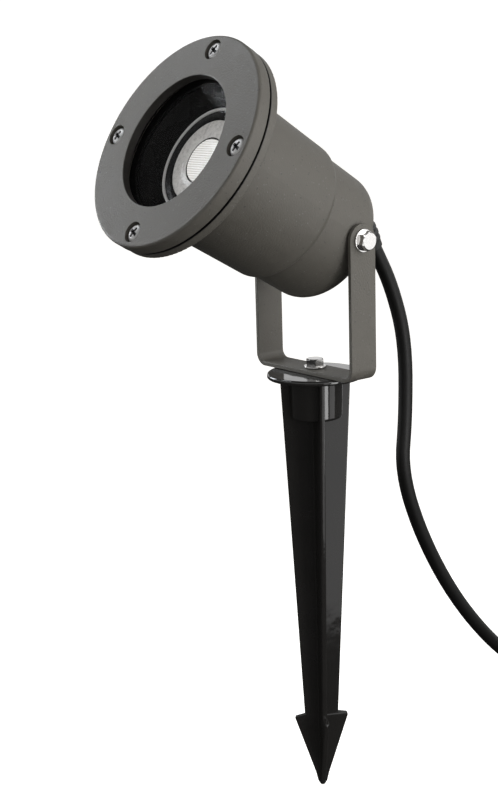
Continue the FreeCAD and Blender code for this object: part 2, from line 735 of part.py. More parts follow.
def plug():
    """A round mains plug lying on the coil; its own axis is Z, pins up."""
    tail = Vector(*PLUG_ROUTE[-1])
    pose = Placement(tail, Rotation(X_AXIS, 90 - PLUG_PITCH))
    body = turned([("0", "0"), ("plug_tail_rad", "0"), ("plug_tail_rad + 1.5", "14"),
                   ("plug_rad - 5", "19"), ("plug_rad - 2.5", "26"), ("plug_rad", "27"),
                   ("plug_rad", "plug_len"), ("0", "plug_len")])
    pins = [cylinder("plug_pin_rad", "plug_pin_len + 6", Vector(side * S["plug_pin_gap"] / 2, 0,
                     S["plug_len"] - 6)) for side in (1, -1)]
    clips = [block("5", "1.2", "12", Vector(0, side * (S["plug_rad"] - 0.9), S["plug_len"] - 6))
             for side in (1, -1)]
    node(cut(body, *pins, *clips), "plug_body", pose)
    for label, things in (("plug_pins", pins), ("plug_earth_clips", clips)):
        group = doc.addObject("Part::Compound", "group")
        group.Links = things
        node(group, label, pose)


def cord_plug_end():
    node(tube([Vector(*point) for point in PLUG_ROUTE], S["cord_rad"]), "cord_plug_end")


# ---------------------------------------------------------------- build and write

for make in (front_bezel, bezel_gasket, bezel_screws, front_glass, glass_gasket, housing,
             anti_glare_sleeve, lamp, lamp_holder, terminal_block, wires, cable_gland,
             strain_relief, cord_head_end, pivot_hardware, bracket, ground_spike, base_hardware,
             cord_drop, cord_coil, cord_plug_end, plug):
    make()
doc.recompute()

for thing in doc.Objects:
    if "Invalid" in thing.State or "Error" in thing.State:
        raise RuntimeError("%s failed: %s" % (thing.Label, thing.State))
for thing in nodes:
    if thing.Shape.isNull() or not thing.Shape.isValid():
        raise RuntimeError("%s has no valid shape" % thing.Label)

os.makedirs("parts", exist_ok=True)
for thing in nodes:
    thing.Shape.exportStep("parts/%s.step" % thing.Label)
    print("%-18s solids %d volume %.0f" % (thing.Label, len(thing.Shape.Solids), thing.Shape.Volume))
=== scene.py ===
import math

import bmesh
import bpy
from mathutils import Matrix, Vector
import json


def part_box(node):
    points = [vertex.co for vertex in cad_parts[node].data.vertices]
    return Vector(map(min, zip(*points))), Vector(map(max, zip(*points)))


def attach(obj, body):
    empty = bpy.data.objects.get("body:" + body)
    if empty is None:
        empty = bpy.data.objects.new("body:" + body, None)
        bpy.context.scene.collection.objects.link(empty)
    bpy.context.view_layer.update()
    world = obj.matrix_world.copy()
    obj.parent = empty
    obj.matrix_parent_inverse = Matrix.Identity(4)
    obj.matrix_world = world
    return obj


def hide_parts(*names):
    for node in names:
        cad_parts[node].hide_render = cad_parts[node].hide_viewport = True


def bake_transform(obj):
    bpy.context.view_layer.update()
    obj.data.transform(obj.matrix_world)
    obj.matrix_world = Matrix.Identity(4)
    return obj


# The looks of a light projector on a ground stake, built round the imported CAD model.
# Sizes are millimetres and become metres where a mesh is finished; cord routes are metres.

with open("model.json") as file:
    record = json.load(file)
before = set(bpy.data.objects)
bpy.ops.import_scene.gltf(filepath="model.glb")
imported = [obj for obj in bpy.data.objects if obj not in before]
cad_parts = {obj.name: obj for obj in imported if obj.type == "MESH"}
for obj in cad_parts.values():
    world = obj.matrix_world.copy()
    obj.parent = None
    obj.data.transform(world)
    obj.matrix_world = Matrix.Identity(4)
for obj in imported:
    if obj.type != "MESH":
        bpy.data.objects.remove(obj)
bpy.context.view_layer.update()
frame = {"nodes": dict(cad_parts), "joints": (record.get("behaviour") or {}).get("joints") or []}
MM = 0.001
JOINTS = {joint["name"]: joint for joint in frame["joints"]}
PIVOT = Vector(JOINTS["tilt"]["pos_m"]) / MM
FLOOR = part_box("ground_spike")[0].z
SMOOTH_UNDER = math.radians(32)
BEVEL_OVER = math.radians(40)

# The beam's own frame: Z runs forward along the beam, with its origin beside the tilt axis
BEAM_ANGLE = 30.7
AXIS_RISE = 1.4
FRONT = 92.2
HEAD = Matrix.Translation(PIVOT) @ Matrix.Rotation(math.radians(90 - BEAM_ANGLE), 4, "X")
BEAM = HEAD @ Matrix.Translation((0, AXIS_RISE, 0))
BEAM_AXIS = BEAM.to_3x3() @ Vector((0, 0, 1))


def at_depth(depth, x=0.0, y=0.0):
    """A point of the head, by its depth behind the bezel's face."""
    return BEAM @ Vector((x, y, FRONT - depth))


# ---------------------------------------------------------------- camera

AZIMUTH = math.radians(51.18)
ELEVATION = math.radians(12.96)
ROLL = math.radians(-1.67)
LENS_LEN = 67.7
SENSOR = 36.0
# In metres: from the target, and the target's own place aside and up
DISTANCE = 0.71984
TARGET_ASIDE = -0.03187
TARGET_RISE = -0.01044


def add_camera():
    """A long lens above and to the right of the front, with a slight roll."""
    right = Vector((math.cos(AZIMUTH), math.sin(AZIMUTH), 0))
    back = Vector((math.sin(AZIMUTH) * math.cos(ELEVATION),
                   -math.cos(AZIMUTH) * math.cos(ELEVATION), math.sin(ELEVATION)))
    up = back.cross(right)
    rolled_right = math.cos(ROLL) * right + math.sin(ROLL) * up
    rolled_up = math.cos(ROLL) * up - math.sin(ROLL) * right
    data = bpy.data.cameras.new("camera")
    data.lens = LENS_LEN
    data.sensor_width = SENSOR
    data.clip_start, data.clip_end = 0.05, 50.0
    camera = bpy.data.objects.new("camera", data)
    turn = Matrix((rolled_right, rolled_up, back)).transposed()
    place = TARGET_ASIDE * right + Vector((0, 0, TARGET_RISE)) + DISTANCE * back
    camera.matrix_world = Matrix.Translation(place) @ turn.to_4x4()
    bpy.context.scene.collection.objects.link(camera)
    bpy.context.scene.camera = camera


add_camera()


# ---------------------------------------------------------------- the cord's line

CORD_RAD = 3.65
TIE_THICK = 0.8
CORD_SIDES = 20
GLAND_RISE = 16.6
GLAND_BACK = 109.4
RELIEF_BEND = 40.0
RELIEF_TURN = math.radians(31.0)
RELIEF_LEN = 23.0
RELIEF_RAD = 6.4
RELIEF_SIDES = 32
RIB_PITCH = 3.0
RIB_RAISED = 0.28
COIL_MEAN = 39.0
COIL_PITCH = 2 * CORD_RAD
COIL_CENTRE = Vector((COIL_MEAN + COIL_PITCH, 207.0)) * MM
TIE_ANGLE = 135.0
TURN_POINTS = 16

# From the strain relief down behind the head and out over the ground, in metres
CORD_ROUTE = [
    (0.0, 0.0510, 0.0384), (0.0, 0.0606, 0.0090), (0.0, 0.0604, -0.0310),
    (0.0, 0.0570, -0.0580), (0.0, 0.0710, -0.0950), (0.0, 0.0962, -0.1360),
    (0.0, 0.1295, -0.1732), (0.0, 0.1630, -0.1985), (0.0, 0.1860, -0.20815),
    (0.0, 0.2070, -0.20815),
]
# From the top of the coil round into the plug, in metres
PLUG_ROUTE = [
    (0.0348, 0.24965, -0.2010), (0.0531, 0.24965, -0.2002), (0.0686, 0.2407, -0.1950),
    (0.0775, 0.2253, -0.1880), (0.0775, 0.2075, -0.1824),
]
# How the coil is laid: turns done, radius off the mean in cord widths, height in cord widths
COIL_LAY = [
    (0.00, 1.0, 0.00), (0.85, 1.0, 0.00), (1.00, 0.0, 0.00), (1.85, 0.0, 0.00),
    (2.00, -1.0, 0.00), (2.72, -1.0, 0.00), (2.88, -0.92, 0.86), (2.95, -0.70, 1.00),
    (3.05, -0.5, 0.87), (3.50, -0.5, 0.87), (3.575, 0.0, 1.02), (3.65, 0.5, 0.87),
    (3.85, 0.5, 0.87), (3.925, 0.5, 1.00), (4.00, 0.5, 0.87), (4.25, 0.5, 0.87),
]


def eased(share):
    """Nought to one with soft ends."""
    share = min(1.0, max(0.0, share))
    return share * share * (3 - 2 * share)


def laid(turns):
    """Radius and height of the coil's line after so many turns, in millimetres."""
    for (start, wide_a, high_a), (end, wide_b, high_b) in zip(COIL_LAY, COIL_LAY[1:]):
        if turns <= end:
            share = eased((turns - start) / (end - start))
            wide = wide_a + (wide_b - wide_a) * share
            high = high_a + (high_b - high_a) * share
            return COIL_MEAN + wide * COIL_PITCH, high * COIL_PITCH
    return COIL_MEAN + COIL_LAY[-1][1] * COIL_PITCH, COIL_LAY[-1][2] * COIL_PITCH


def coil_points():
    """The coil's control points, clockwise from where the cord arrives, in metres."""
    points = []
    reach = 1 / (0.75 + 0.25 * math.cos(2 * math.pi / TURN_POINTS))
    for i in range(1, round(COIL_LAY[-1][0] * TURN_POINTS)):
        turns = i / TURN_POINTS
        radius, high = laid(turns)
        angle = math.pi - 2 * math.pi * turns
        over_tie = max(0.0, math.cos(angle - math.radians(TIE_ANGLE))) ** 6 * TIE_THICK
        z = FLOOR + (CORD_RAD + high + over_tie) * MM
        points.append((COIL_CENTRE.x + radius * reach * MM * math.cos(angle),
                       COIL_CENTRE.y + radius * reach * MM * math.sin(angle), z))
    return points


def relief_points():
    """Control points from inside the housing, through the gland and round the strain relief."""
    corner = RELIEF_BEND * math.tan(RELIEF_TURN / 2)
    depths = (93.0, 101.0, GLAND_BACK, GLAND_BACK + corner)
    points = [at_depth(depth, y=GLAND_RISE) for depth in depths]
    points.append(at_depth(GLAND_BACK + RELIEF_BEND * math.sin(RELIEF_TURN),
                           y=GLAND_RISE - RELIEF_BEND * (1 - math.cos(RELIEF_TURN))))
    return [point * MM for point in points]


def smooth_line(points):
    """Points along the smooth NURBS line of a route."""
    curve = bpy.data.curves.new("route", "CURVE")
    curve.dimensions = "3D"
    spline = curve.splines.new("NURBS")
    spline.points.add(len(points) - 1)
    for target, point in zip(spline.points, points):
        target.co = (*point, 1.0)
    spline.order_u = 3
    spline.use_endpoint_u = True
    spline.resolution_u = 6
    route = bpy.data.objects.new("route", curve)
    bpy.context.scene.collection.objects.link(route)
    bpy.context.view_layer.update()
    mesh = bpy.data.meshes.new_from_object(route.evaluated_get(
        bpy.context.evaluated_depsgraph_get()))
    line = [vertex.co.copy() for vertex in mesh.vertices]
    bpy.data.objects.remove(route)
    return line


plug_tail = Vector(PLUG_ROUTE[-1])
PLUG_PITCH = math.radians(6.0)
plug_heading = Vector((0, -math.cos(PLUG_PITCH), math.sin(PLUG_PITCH)))
cord_line = smooth_line(relief_points() + CORD_ROUTE + coil_points() + PLUG_ROUTE
                        + [plug_tail + plug_heading * 10 * MM])


# ---------------------------------------------------------------- mesh helpers

def skin(mesh, rings, closed=False):
    """Faces between neighbouring rings of equal size; a ring of one point is a pole."""
    pairs = list(zip(rings, rings[1:]))
    if closed:
        pairs.append((rings[-1], rings[0]))
    for a, b in pairs:
        count = max(len(a), len(b))
        for i in range(count):
            j = (i + 1) % count
            if len(a) == 1:
                mesh.faces.new((a[0], b[j], b[i]))
            elif len(b) == 1:
                mesh.faces.new((a[i], a[j], b[0]))
            else:
                mesh.faces.new((a[i], a[j], b[j], b[i]))


def ring_outline(inner, outer, low, high, edge):
    """The outline across a flat ring, with its corners eased."""
    cut = 0.29 * edge
    return [(inner + edge, low), (outer - edge, low), (outer - cut, low + cut),
            (outer, low + edge), (outer, high - edge), (outer - cut, high - cut),
            (outer - edge, high), (inner + edge, high), (inner + cut, high - cut),
            (inner, high - edge), (inner, low + edge), (inner + cut, low + cut)]


def lathe(mesh, profile, count=64, place=Matrix.Identity(4), closed=False):
    """Turn a profile about Z; each entry is (radius, height) or gives them for an angle."""
    rings = []
    for entry in profile:
        if not callable(entry) and entry[0] < 1e-6:
            rings.append([mesh.verts.new(place @ Vector((0, 0, entry[1])))])
            continue
        ring = []
        for i in range(count):
            angle = 2 * math.pi * i / count
            radius, height = entry(angle) if callable(entry) else entry
            ring.append(mesh.verts.new(place @ Vector((radius * math.cos(angle),
                                                       radius * math.sin(angle), height))))
        rings.append(ring)
    skin(mesh, rings, closed)


def tube(mesh, line, radius_at, count=16):
    """A round tube along a line of points, with flat ends; the line and radii share a unit."""
    side = Vector((1, 0, 0))
    rings = []
    last = len(line) - 1
    for i, point in enumerate(line):
        ahead = (line[min(i + 1, last)] - line[max(i - 1, 0)]).normalized()
        side = (side - ahead * side.dot(ahead)).normalized()
        other = ahead.cross(side)
        radius = radius_at(i)
        rings.append([mesh.verts.new(point + radius * (math.cos(a) * side + math.sin(a) * other))
                      for a in (2 * math.pi * k / count for k in range(count))])
    skin(mesh, [[mesh.verts.new(line[0])], *rings, [mesh.verts.new(line[-1])]])


def piece(name, mesh, materials, body=None, scale=MM):
    """Turn a mesh into a smooth-shaded piece of the object that rides on a body."""
    bmesh.ops.recalc_face_normals(mesh, faces=mesh.faces)
    bmesh.ops.scale(mesh, vec=(scale, scale, scale), verts=mesh.verts)
    data = bpy.data.meshes.new(name)
    mesh.to_mesh(data)
    mesh.free()
    data.shade_smooth()
    data.set_sharp_from_angle(angle=SMOOTH_UNDER)
    for material in materials:
        data.materials.append(material)
    made = bpy.data.objects.new(name, data)
    bpy.context.scene.collection.objects.link(made)
    if body:
        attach(made, body)
    return made


def flatten_faces(made):
    """Keep broad faces flat beside their small rounded edges."""
    made.modifiers.new("flat_faces", "WEIGHTED_NORMAL").keep_sharp = True


def soften_edges(made, width, segments=2):
    """Bevel the sharp edges, with the flat faces left flat."""
    bevel = made.modifiers.new("soft_edges", "BEVEL")
    bevel.width = width * MM
    bevel.segments = segments
    bevel.limit_method = "ANGLE"
    bevel.angle_limit = BEVEL_OVER
    bevel.harden_normals = True


# ---------------------------------------------------------------- materials

SEAM_DEEP = 6.9
SEAM_HALF = 0.85
WINDOW_RAD = 31.2
CORE_SPREAD = 3.0
WARM_WHITE = (1.0, 0.98, 0.94)


def map_range(tree, value, start=0.0, end=1.0, low=0.0, high=1.0):
    """The output of a node that takes a value from start..end to low..high."""
    node = tree.nodes.new("ShaderNodeMapRange")
    for name, amount in (("From Min", start), ("From Max", end), ("To Min", low), ("To Max", high)):
        node.inputs[name].default_value = amount
    tree.links.new(value, node.inputs["Value"])
    return node.outputs["Result"]


def noise(tree, size_mm, detail):
    """Soft noise over the object, with patches of about a size."""
    node = tree.nodes.new("ShaderNodeTexNoise")
    node.inputs["Scale"].default_value = 1 / (size_mm * MM)
    node.inputs["Detail"].default_value = detail
    tree.links.new(tree.nodes["Texture Coordinate"].outputs["Object"], node.inputs["Vector"])
    return node.outputs["Fac"]


def raised(tree, height, raised_mm):
    """Let a height from nought to one stand proud of the surface."""
    bump = tree.nodes.new("ShaderNodeBump")
    bump.inputs["Distance"].default_value = raised_mm * MM
    tree.links.new(height, bump.inputs["Height"])
    tree.links.new(bump.outputs["Normal"], tree.nodes["Principled BSDF"].inputs["Normal"])


def painted(tree, share, colour):
    """Lay a colour over a finish, where and as much as the share says."""
    base = tree.nodes["Principled BSDF"].inputs["Base Color"]
    mix = tree.nodes.new("ShaderNodeMix")
    mix.data_type = "RGBA"
    mix.inputs["B"].default_value = (*colour, 1.0)
    tree.links.new(share, mix.inputs["Factor"])
    tree.links.new(base.links[0].from_socket, mix.inputs["A"])
    tree.links.new(mix.outputs["Result"], base)


def vector_maths(tree, operation, vector, other=(0, 0, 0)):
    """The node of a vector operation on an input and a fixed vector."""
    node = tree.nodes.new("ShaderNodeVectorMath")
    node.operation = operation
    node.inputs[1].default_value = other
    tree.links.new(vector, node.inputs[0])
    return node


def finish_of(name, dark, light, rough, patch_mm=6.0, grain_mm=0.5, grain_raised=0.0,
              metallic=0.0, specular=0.5, coat=0.0, alpha=1.0, glow=0.0):
    """A procedural finish: colour drifts between dark and light in soft patches, roughness
    drifts with it, and a fine grain stands grain_raised millimetres proud."""
    material = bpy.data.materials.new(name)
    material.use_nodes = True
    tree = material.node_tree
    shader = tree.nodes["Principled BSDF"]
    shader.inputs["Metallic"].default_value = metallic
    shader.inputs["Specular IOR Level"].default_value = specular
    shader.inputs["Coat Weight"].default_value = coat
    shader.inputs["Coat Roughness"].default_value = 0.1
    shader.inputs["Alpha"].default_value = alpha
    if glow:
        shader.inputs["Emission Color"].default_value = (*WARM_WHITE, 1.0)
        shader.inputs["Emission Strength"].default_value = glow
    tree.nodes.new("ShaderNodeTexCoord")
    patches = noise(tree, patch_mm, 4.0)
    colour = tree.nodes.new("ShaderNodeMix")
    colour.data_type = "RGBA"
    colour.inputs["A"].default_value = (*dark, 1.0)
    colour.inputs["B"].default_value = (*light, 1.0)
    tree.links.new(patches, colour.inputs["Factor"])
    tree.links.new(colour.outputs["Result"], shader.inputs["Base Color"])
    roughness = map_range(tree, patches, low=rough[0], high=rough[1])
    tree.links.new(roughness, shader.inputs["Roughness"])
    if grain_raised:
        raised(tree, noise(tree, grain_mm, 2.0), grain_raised)
    return material


def grey(value, warmth=0.0):
    """A linear grey, with a little more red than blue where warm."""
    return value * (1 + warmth), value, value * (1 - warmth)


def speckled(material, size_mm, share, light, dark):
    """Scatter small specks, some lighter and some darker, over a finish."""
    tree = material.node_tree
    specks = tree.nodes.new("ShaderNodeTexVoronoi")
    specks.inputs["Scale"].default_value = 1 / (size_mm * MM)
    tree.links.new(tree.nodes["Texture Coordinate"].outputs["Object"], specks.inputs["Vector"])
    split = tree.nodes.new("ShaderNodeSeparateColor")
    tree.links.new(specks.outputs["Color"], split.inputs["Color"])
    for channel, tone in (("Red", light), ("Green", dark)):
        chosen = map_range(tree, split.outputs[channel], 1 - share, 1 - 0.6 * share)
        painted(tree, chosen, tone)


def shadow_seam(material, deep, half, colour):
    """Painted shade in the joint behind the bezel, within half of a depth of the head."""
    tree = material.node_tree
    place = tree.nodes["Texture Coordinate"].outputs["Object"]
    along = vector_maths(tree, "DOT_PRODUCT", place, BEAM_AXIS)
    away = tree.nodes.new("ShaderNodeMath")
    away.operation = "SUBTRACT"
    away.inputs[1].default_value = at_depth(deep).dot(BEAM_AXIS) * MM
    tree.links.new(along.outputs["Value"], away.inputs[0])
    apart = tree.nodes.new("ShaderNodeMath")
    apart.operation = "ABSOLUTE"
    tree.links.new(away.outputs["Value"], apart.inputs[0])
    near = map_range(tree, apart.outputs["Value"], half * MM, 0.6 * half * MM)
    painted(tree, near, colour)


def shadow_bore(material, radius, colour):
    """Shade on the wall of a bore round the beam, which has this radius."""
    tree = material.node_tree
    place = tree.nodes["Texture Coordinate"].outputs["Object"]
    offset = vector_maths(tree, "SUBTRACT", place, at_depth(0) * MM)
    cross = vector_maths(tree, "CROSS_PRODUCT", offset.outputs["Vector"], BEAM_AXIS)
    reach = vector_maths(tree, "LENGTH", cross.outputs["Vector"])
    inside = map_range(tree, reach.outputs["Value"], (radius + 0.3) * MM, (radius + 0.05) * MM)
    painted(tree, inside, colour)


def ribbed(material, pitch_mm, raised_mm, glow):
    """Fine level ribs across a lens, with painted light: its glow runs between the two strengths
    with the ribs.
    """
    tree = material.node_tree
    wave = tree.nodes.new("ShaderNodeTexWave")
    wave.bands_direction = "Z"
    wave.inputs["Scale"].default_value = math.pi / (10 * pitch_mm * MM)
    wave.inputs["Distortion"].default_value = 0.0
    tree.links.new(tree.nodes["Texture Coordinate"].outputs["Object"], wave.inputs["Vector"])
    raised(tree, wave.outputs["Fac"], raised_mm)
    shade = map_range(tree, wave.outputs["Fac"], low=glow[0], high=glow[1])
    tree.links.new(shade, tree.nodes["Principled BSDF"].inputs["Emission Strength"])


def core_colours():
    """Brown, green and yellow, and blue cores side by side across the cord's end."""
    material = finish_of("wire_cores", grey(0.1), grey(0.2), (0.35, 0.5), patch_mm=2)
    tree = material.node_tree
    split = tree.nodes.new("ShaderNodeSeparateXYZ")
    tree.links.new(tree.nodes["Texture Coordinate"].outputs["Object"], split.inputs["Vector"])
    ramp = tree.nodes.new("ShaderNodeValToRGB")
    ramp.color_ramp.interpolation = "CONSTANT"
    ramp.color_ramp.elements.new(0.5)
    colours = ((0.0, (0.12, 0.045, 0.015)), (0.35, (0.35, 0.5, 0.02)), (0.65, (0.01, 0.06, 0.3)))
    for element, (start, rgb) in zip(ramp.color_ramp.elements, colours):
        element.position = start
        element.color = (*rgb, 1.0)
    across = map_range(tree, split.outputs["X"], -CORE_SPREAD * MM, CORE_SPREAD * MM)
    tree.links.new(across, ramp.inputs["Fac"])
    tree.links.new(ramp.outputs["Color"], tree.nodes["Principled BSDF"].inputs["Base Color"])
    return material


POWDER_COAT = finish_of("powder_coat", (0.086, 0.08, 0.067), (0.112, 0.104, 0.089), (0.46, 0.66),
                        patch_mm=5, grain_mm=0.8, grain_raised=0.15)
speckled(POWDER_COAT, 0.5, 0.008, grey(0.14, 0.05), grey(0.055, 0.06))
# Painted shade darkens the joint behind the bezel on the coat.
shadow_seam(POWDER_COAT, SEAM_DEEP, SEAM_HALF, grey(0.004))
# The bezel's coat, with painted shade on the wall of its window.
BEZEL_COAT = POWDER_COAT.copy()
BEZEL_COAT.name = "bezel_coat"
shadow_bore(BEZEL_COAT, WINDOW_RAD, (0.02, 0.018, 0.015))
GASKET_RUBBER = finish_of("gasket_rubber", grey(0.002), grey(0.005), (0.6, 0.75), specular=0.1,
                          grain_mm=0.3, grain_raised=0.03)
CABLE_RUBBER = finish_of("cable_rubber", grey(0.003, 0.08), grey(0.0055, 0.08), (0.42, 0.54),
                         patch_mm=14, grain_mm=0.5, grain_raised=0.03, specular=0.3)
STAINLESS = finish_of("stainless", grey(0.66, 0.02), grey(0.8, 0.015), (0.07, 0.15),
                      patch_mm=1.6, grain_mm=0.4, grain_raised=0.006, metallic=1.0)
CLEAR_GLASS = finish_of("clear_glass", grey(0.02), grey(0.03), (0.02, 0.05), patch_mm=40,
                        alpha=0.06)
SLEEVE_BLACK = finish_of("sleeve_black", grey(0.004), grey(0.007), (0.24, 0.3), patch_mm=11,
                         grain_mm=0.8, grain_raised=0.01, specular=0.1)
# Painted light: a weak glow brightens the lamp's shell and lens in the dark head.
LAMP_SHELL = finish_of("lamp_shell", grey(0.62), grey(0.8), (0.12, 0.2), patch_mm=2.5, coat=0.5,
                       glow=0.12)
LENS_RIM = finish_of("lens_rim", grey(0.003), grey(0.04), (0.14, 0.3), patch_mm=1.1,
                     specular=0.18, grain_mm=1.8, grain_raised=0.3)
LENS_FROSTED = finish_of("lens_frosted", grey(0.25, 0.03), grey(0.75, 0.03), (0.2, 0.38),
                         patch_mm=1.8, grain_mm=1.7, grain_raised=0.6, coat=0.5, glow=0.22)
LENS_CLEAR = finish_of("lens_clear", grey(0.72, 0.01), grey(0.86, 0.01), (0.12, 0.22),
                       patch_mm=3, coat=0.4, glow=0.4)
ribbed(LENS_CLEAR, 0.95, 0.25, (0.35, 0.8))
FOOT_STEEL = finish_of("foot_steel", grey(0.3, 0.02), grey(0.46, 0.02), (0.08, 0.16), patch_mm=1.6,
                       grain_mm=0.5, grain_raised=0.01, metallic=1.0)
SCREW_STEEL = finish_of("screw_steel", grey(0.34, 0.02), grey(0.5, 0.02), (0.34, 0.48),
                        patch_mm=1.2, grain_mm=0.3, grain_raised=0.02, metallic=0.35)
# Painted shade: dark steel laid in the screws' cross recesses.
SCREW_RECESS_SHADE = finish_of("screw_recess_shade", grey(0.012), grey(0.05), (0.4, 0.6), patch_mm=0.8,
                         metallic=0.5)
PLATED_PINS = finish_of("plated_pins", grey(0.6, 0.03), grey(0.72, 0.03), (0.2, 0.32),
                        patch_mm=2, metallic=1.0)
CERAMIC = finish_of("ceramic", grey(0.62, 0.04), grey(0.72, 0.04), (0.6, 0.8), patch_mm=2,
                    grain_mm=0.3, grain_raised=0.04)
ZINC_PLATE = finish_of("zinc_plate", grey(0.45), grey(0.62), (0.3, 0.45), patch_mm=2.5,
                       grain_mm=0.3, grain_raised=0.01, metallic=1.0)
WHITE_NYLON = finish_of("white_nylon", grey(0.62), grey(0.7), (0.4, 0.5), grain_mm=0.6,
                        grain_raised=0.015)
SLEEVED_CORE = finish_of("sleeved_core", grey(0.55, 0.05), grey(0.66, 0.05), (0.5, 0.65),
                         patch_mm=1.2, grain_mm=0.25, grain_raised=0.04)
BLACK_NYLON = finish_of("black_nylon", grey(0.012), grey(0.02), (0.38, 0.5), grain_mm=0.5,
                        grain_raised=0.02)
SPIKE_PLASTIC = finish_of("spike_plastic", grey(0.012, 0.06), grey(0.018, 0.06), (0.05, 0.11),
                          patch_mm=16, grain_mm=9.0, grain_raised=0.1, specular=0.55)
TIE_WEAVE = finish_of("tie_weave", grey(0.01), grey(0.022), (0.7, 0.85), patch_mm=0.9,
                      grain_mm=0.4, grain_raised=0.12)
PLUG_RUBBER = finish_of("plug_rubber", grey(0.01), grey(0.016), (0.46, 0.6), patch_mm=8,
                        grain_mm=0.4, grain_raised=0.03)
WIRE_CORES = core_colours()

KEPT = {
    BEZEL_COAT: ("front_bezel",),
    POWDER_COAT: ("housing",),
    GASKET_RUBBER: ("bezel_gasket", "glass_gasket", "gland_seal"),
    CLEAR_GLASS: ("front_glass",),
    SLEEVE_BLACK: ("anti_glare_sleeve",),
    LAMP_SHELL: ("lamp_body",),
    PLATED_PINS: ("lamp_pins", "plug_earth_clips"),
    CERAMIC: ("lamp_holder",),
    ZINC_PLATE: ("lamp_bridge", "bridge_screws", "base_nut"),
    WHITE_NYLON: ("terminal_block",),
    SLEEVED_CORE: ("lamp_wires",),
    BLACK_NYLON: ("cable_gland", "gland_locknut", "pivot_pads"),
    WIRE_CORES: ("supply_wires",),
}
for material, names in KEPT.items():
    for name in names:
        data = frame["nodes"][name].data
        data.materials.clear()
        data.materials.append(material)


# ---------------------------------------------------------------- the cord and what is on it

def add_cord():
    """The whole lead, as one tube from inside the head round the coil to the plug."""
    mesh = bmesh.new()
    tube(mesh, cord_line, lambda i: CORD_RAD * MM, CORD_SIDES)
    cord = piece("cord", mesh, [CABLE_RUBBER], scale=1.0)
    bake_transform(cord)
    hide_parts("cord_head_end", "cord_drop", "cord_coil", "cord_plug_end")
    return cord


def stretch_of(line, start, length, step):
    """Evenly spaced points along a line from a start, and how far along each one is."""
    nearest = min(range(len(line)), key=lambda i: (line[i] - start).length)
    point, following = start.copy(), nearest + 1
    points, gone = [point.copy()], [0.0]
    while gone[-1] < length and following < len(line):
        way = line[following] - point
        if way.length < step:
            following += 1
            continue
        point = point + way.normalized() * step
        points.append(point.copy())
        gone.append(gone[-1] + step)
    return points, gone


def add_strain_relief():
    """A tapered rubber sleeve with raised ribs, bent along the cord's first stretch."""
    start = at_depth(GLAND_BACK, y=GLAND_RISE) * MM
    sleeve, gone = stretch_of(cord_line, start, RELIEF_LEN * MM, 0.5 * MM)
    thin_end = CORD_RAD + 0.75

    def radius_at(k):
        taper = RELIEF_RAD + (thin_end - RELIEF_RAD) * gone[k] / gone[-1]
        far = gone[k] / MM
        on_rib = RIB_PITCH < far < 7 * RIB_PITCH and far % RIB_PITCH < RIB_PITCH / 2
        return (taper + on_rib * RIB_RAISED) * MM

    mesh = bmesh.new()
    tube(mesh, sleeve, radius_at, RELIEF_SIDES)
    relief = piece("strain_relief_sleeve", mesh, [PLUG_RUBBER], "head", scale=1.0)
    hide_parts("strain_relief")
    return relief


cord = add_cord()
relief = add_strain_relief()


# ---------------------------------------------------------------- screws and bolts

SCREW_CIRCLE = 43.4
SCREW_ANGLES = (-1.8, 88.2, 178.2, 268.2)
COUNTERBORE_DEEP = 2.6
BOLT_LEAN = math.radians(-12.0)
BASE_BOLT_TURN = math.radians(21.0)
ARM_FACE = 34.25
FOOT_FACE = 4.6
WASHER_BORE = 2.55
WASHER_RAD = 5.3
WASHER_THICK = 1.0
WASHER_EDGE = 0.25
SCREW_SPIN = math.radians(20)
PIVOT_SHANK = 11.25
FOOT_SHANK = 17.6


def pan_screw(mesh, place):
    """A pan-head screw with a cross recess in its face, its shank below."""
    def face(radius):
        def at(angle):
            across, along = sorted((abs(radius * math.cos(angle - math.pi / 4)),
                                    abs(radius * math.sin(angle - math.pi / 4))))
            sunk = 1.5 * eased((0.72 - across) / 0.3) * eased((2.45 - along) / 0.45)
            return radius, 2.3 - 0.042 * radius ** 2 - sunk
        return at

    faces = [face(2.7 - 0.15 * i) for i in range(18)]
    before = len(mesh.faces)
    lathe(mesh, [(0, -8.0), (1.8, -8.0), (2.0, -7.7), (2.0, 0.0), (3.95, 0.0), (4.1, 0.15),
                 (4.1, 0.8), (4.0, 1.12), (3.7, 1.46), (3.2, 1.8), *faces, (0, 0.8)], 96, place)
    mesh.faces.ensure_lookup_table()
    local = place.inverted()
    # Faces sunk in the cross recess take the second slot, the painted shade.
    for polygon in mesh.faces[before:]:
        middle = local @ polygon.calc_center_median()
        polygon.material_index = int(middle.z > 0.5 and middle.xy.length < 2.7
                                     and middle.z < 1.95 - 0.042 * middle.xy.length_squared)


def hex_bolt(mesh, place, shank_len):
    """A chamfered hex head standing on its washer, with its shank below."""
    flat, tall, top_rad, shank = 4.0, 3.5, 3.75, 2.5

    def across(angle):
        return flat / math.cos(angle % (math.pi / 3) - math.pi / 6)

    def seat(angle):
        return across(angle), 0.0

    def shoulder(angle):
        return across(angle), tall - (across(angle) - top_rad) * math.tan(math.radians(32))

    lathe(mesh, [(0, -shank_len), (shank - 0.4, -shank_len), (shank, 0.4 - shank_len), (shank, 0),
                 seat, shoulder, (top_rad, tall), (top_rad - 0.3, tall), (0, tall)], 72, place)


def flat_washer(mesh, place):
    """A flat washer with eased edges, lying on its place."""
    lathe(mesh, ring_outline(WASHER_BORE, WASHER_RAD, 0, WASHER_THICK, WASHER_EDGE), 64, place,
          closed=True)


